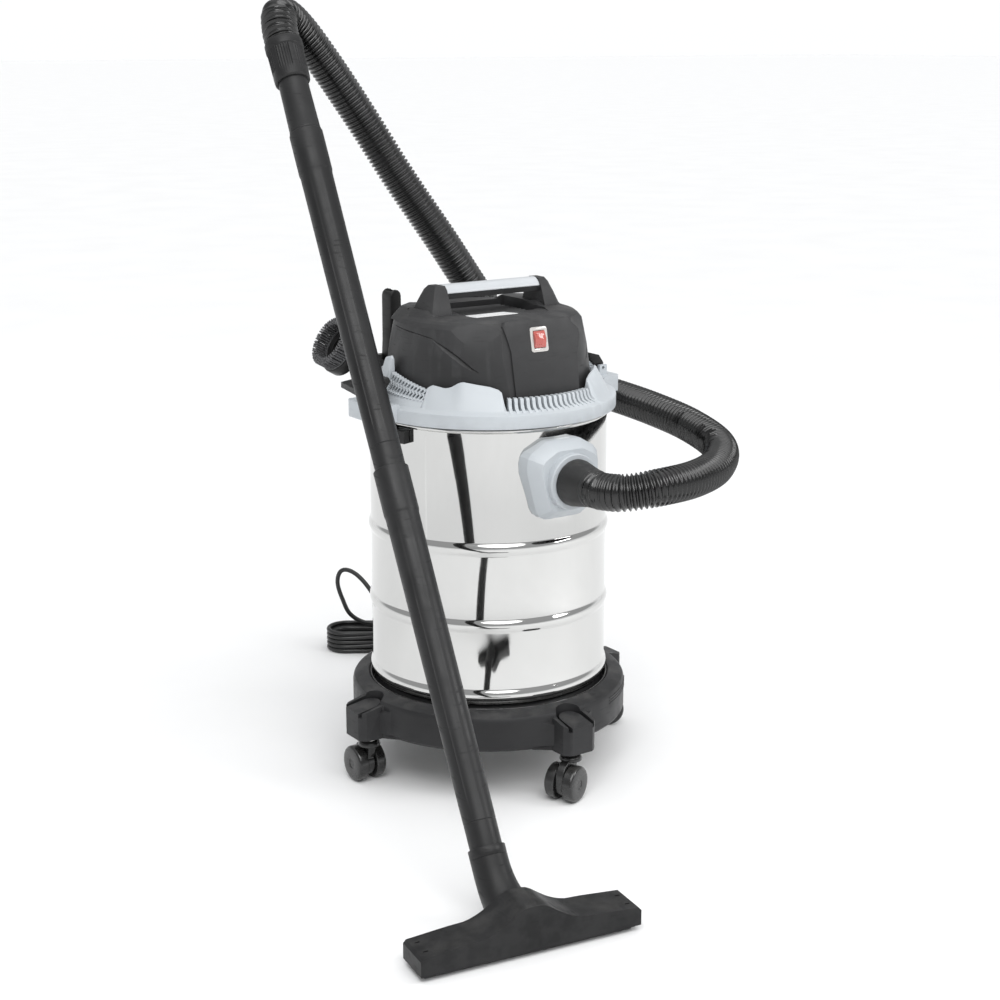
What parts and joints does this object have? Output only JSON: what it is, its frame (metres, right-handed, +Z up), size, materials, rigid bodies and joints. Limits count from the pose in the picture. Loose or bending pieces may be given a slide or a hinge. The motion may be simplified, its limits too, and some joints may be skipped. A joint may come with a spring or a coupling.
{
  "type": "shop vacuum",
  "caption": "Wet and dry vacuum: polished drum on a caster dolly, latched motor head with carry handle and rocker switch, ribbed hose, sectional wand and floor nozzle.",
  "frame": {"origin": "middle of the footprint of the machine with its hose, wand and floor nozzle, the power cord left out, on the floor", "axes": "+Z up, -Y towards the front with the suction inlet and the switch, +X to the right as seen from the front"},
  "size_m": [0.7168, 1.096, 1.057],
  "materials": {
    "polished_steel": "mirror-polished stainless sheet",
    "bright_zinc": "bright zinc plate",
    "cast_aluminium": "as cast",
    "motor_winding": "varnished copper winding on iron laminations",
    "pale_grey_plastic": "light grey, fine texture",
    "silver_plastic": "light silver-grey, satin",
    "charcoal_plastic": "dark grey, fine texture",
    "nozzle_plastic": "near black, satin",
    "black_plastic": "black, satin",
    "dark_grey_plastic": "dark grey, matt",
    "wheel_plastic": "black, gloss",
    "hose_plastic": "black, gloss",
    "black_rubber": "black, satin",
    "red_lens": "translucent red",
    "clear_bezel": "clear to silver",
    "white_plastic": "white",
    "filter_foam": "open-cell foam",
    "bristle": "dark bristle"
  },
  "bodies": {
    "drum_and_wand": {"drum": "polished_steel", "dolly_base": "black_plastic", "inlet_housing": "pale_grey_plastic", "hose_inlet_cuff": "black_rubber", "catch_plate_left": "black_plastic", "catch_plate_right": "black_plastic", "suction_hose": "hose_plastic", "hose_wand_cuff": "black_rubber", "wand_lower_tube": "charcoal_plastic", "wand_upper_tube": "charcoal_plastic", "wand_spigot": "charcoal_plastic", "nozzle_neck": "charcoal_plastic"},
    "head": {"lid_ring": "pale_grey_plastic", "lid_gasket": "black_rubber", "motor_cover": "charcoal_plastic", "top_grille": "dark_grey_plastic", "handle_bar": "charcoal_plastic", "handle_cap": "silver_plastic", "switch_bezel": "clear_bezel", "latch_pin_left": "bright_zinc", "latch_pin_right": "bright_zinc", "motor_plate": "dark_grey_plastic", "motor_housing": "bright_zinc", "float_cage": "dark_grey_plastic", "filter_sleeve": "filter_foam", "tool_holder": "dark_grey_plastic", "crevice_tool": "black_plastic", "round_brush": "black_plastic", "round_brush_bristles": "bristle", "cord_gland": "black_rubber", "power_cord": "black_rubber", "power_cord_hank": "black_rubber", "power_plug": "black_rubber"},
    "latch_left": {"latch_left": "black_plastic"},
    "latch_right": {"latch_right": "black_plastic"},
    "switch": {"switch_rocker": "red_lens"},
    "motor_shaft": {"motor_rotor": "motor_winding", "fan_impeller": "cast_aluminium"},
    "float": {"float_valve": "white_plastic"},
    "nozzle": {"floor_nozzle": "nozzle_plastic", "nozzle_insert": "nozzle_plastic", "brush_strip_front": "bristle", "brush_strip_rear": "bristle"},
    "caster_front": {"caster_stem_front": "bright_zinc", "caster_hood_front": "black_plastic"},
    "caster_wheels_front": {"caster_wheel_front_left": "wheel_plastic", "caster_wheel_front_right": "wheel_plastic"},
    "caster_right": {"caster_stem_right": "bright_zinc", "caster_hood_right": "black_plastic"},
    "caster_wheels_right": {"caster_wheel_right_left": "wheel_plastic", "caster_wheel_right_right": "wheel_plastic"},
    "caster_rear": {"caster_stem_rear": "bright_zinc", "caster_hood_rear": "black_plastic"},
    "caster_wheels_rear": {"caster_wheel_rear_left": "wheel_plastic", "caster_wheel_rear_right": "wheel_plastic"},
    "caster_left": {"caster_stem_left": "bright_zinc", "caster_hood_left": "black_plastic"},
    "caster_wheels_left": {"caster_wheel_left_left": "wheel_plastic", "caster_wheel_left_right": "wheel_plastic"}
  },
  "joints": [
    {"name": "head_lift", "type": "slide", "parent": "drum_and_wand", "child": "head", "axis": [0, 0, 1], "range_m": [0, 0.07]},
    {"name": "latch_left_swing", "type": "hinge", "parent": "head", "child": "latch_left", "pos_m": [-0.0865, 0.1555, 0.548], "axis": [0, 1, 0], "range_deg": [0, 19]},
    {"name": "latch_right_swing", "type": "hinge", "parent": "head", "child": "latch_right", "pos_m": [0.2815, 0.1555, 0.548], "axis": [0, -1, 0], "range_deg": [0, 19]},
    {"name": "switch_rock", "type": "hinge", "parent": "head", "child": "switch", "pos_m": [0.0975, 0.03746, 0.619], "axis": [1, 0, 0], "range_deg": [-6, 6]},
    {"name": "motor_spin", "type": "hinge", "parent": "head", "child": "motor_shaft", "pos_m": [0.0975, 0.1555, 0.55], "axis": [0, 0, 1], "continuous": true},
    {"name": "float_rise", "type": "slide", "parent": "head", "child": "float", "axis": [0, 0, 1], "range_m": [0, 0.05]},
    {"name": "nozzle_swivel", "type": "hinge", "parent": "drum_and_wand", "child": "nozzle", "pos_m": [-0.19373, -0.32556, 0.0295], "axis": [0.1426, 0.9898, 0], "range_deg": [-45, 45]},
    {"name": "caster_front_swivel", "type": "hinge", "parent": "drum_and_wand", "child": "caster_front", "pos_m": [0.0975, -0.0445, 0.08], "axis": [0, 0, 1], "continuous": true},
    {"name": "caster_front_roll", "type": "hinge", "parent": "caster_front", "child": "caster_wheels_front", "pos_m": [0.08562, -0.04979, 0.025], "axis": [0.4067, -0.9135, 0], "continuous": true},
    {"name": "caster_right_swivel", "type": "hinge", "parent": "drum_and_wand", "child": "caster_right", "pos_m": [0.2975, 0.1555, 0.08], "axis": [0, 0, 1], "continuous": true},
    {"name": "caster_right_roll", "type": "hinge", "parent": "caster_right", "child": "caster_wheels_right", "pos_m": [0.30815, 0.14804, 0.025], "axis": [0.5736, 0.8192, 0], "continuous": true},
    {"name": "caster_rear_swivel", "type": "hinge", "parent": "drum_and_wand", "child": "caster_rear", "pos_m": [0.0975, 0.3555, 0.08], "axis": [0, 0, 1], "continuous": true},
    {"name": "caster_rear_roll", "type": "hinge", "parent": "caster_rear", "child": "caster_wheels_rear", "pos_m": [0.08624, 0.362, 0.025], "axis": [-0.5, -0.866, 0], "continuous": true},
    {"name": "caster_left_swivel", "type": "hinge", "parent": "drum_and_wand", "child": "caster_left", "pos_m": [-0.1025, 0.1555, 0.08], "axis": [0, 0, 1], "continuous": true},
    {"name": "caster_left_roll", "type": "hinge", "parent": "caster_left", "child": "caster_wheels_left", "pos_m": [-0.1025, 0.1685, 0.025], "axis": [-1, 0, 0], "continuous": true}
  ]
}
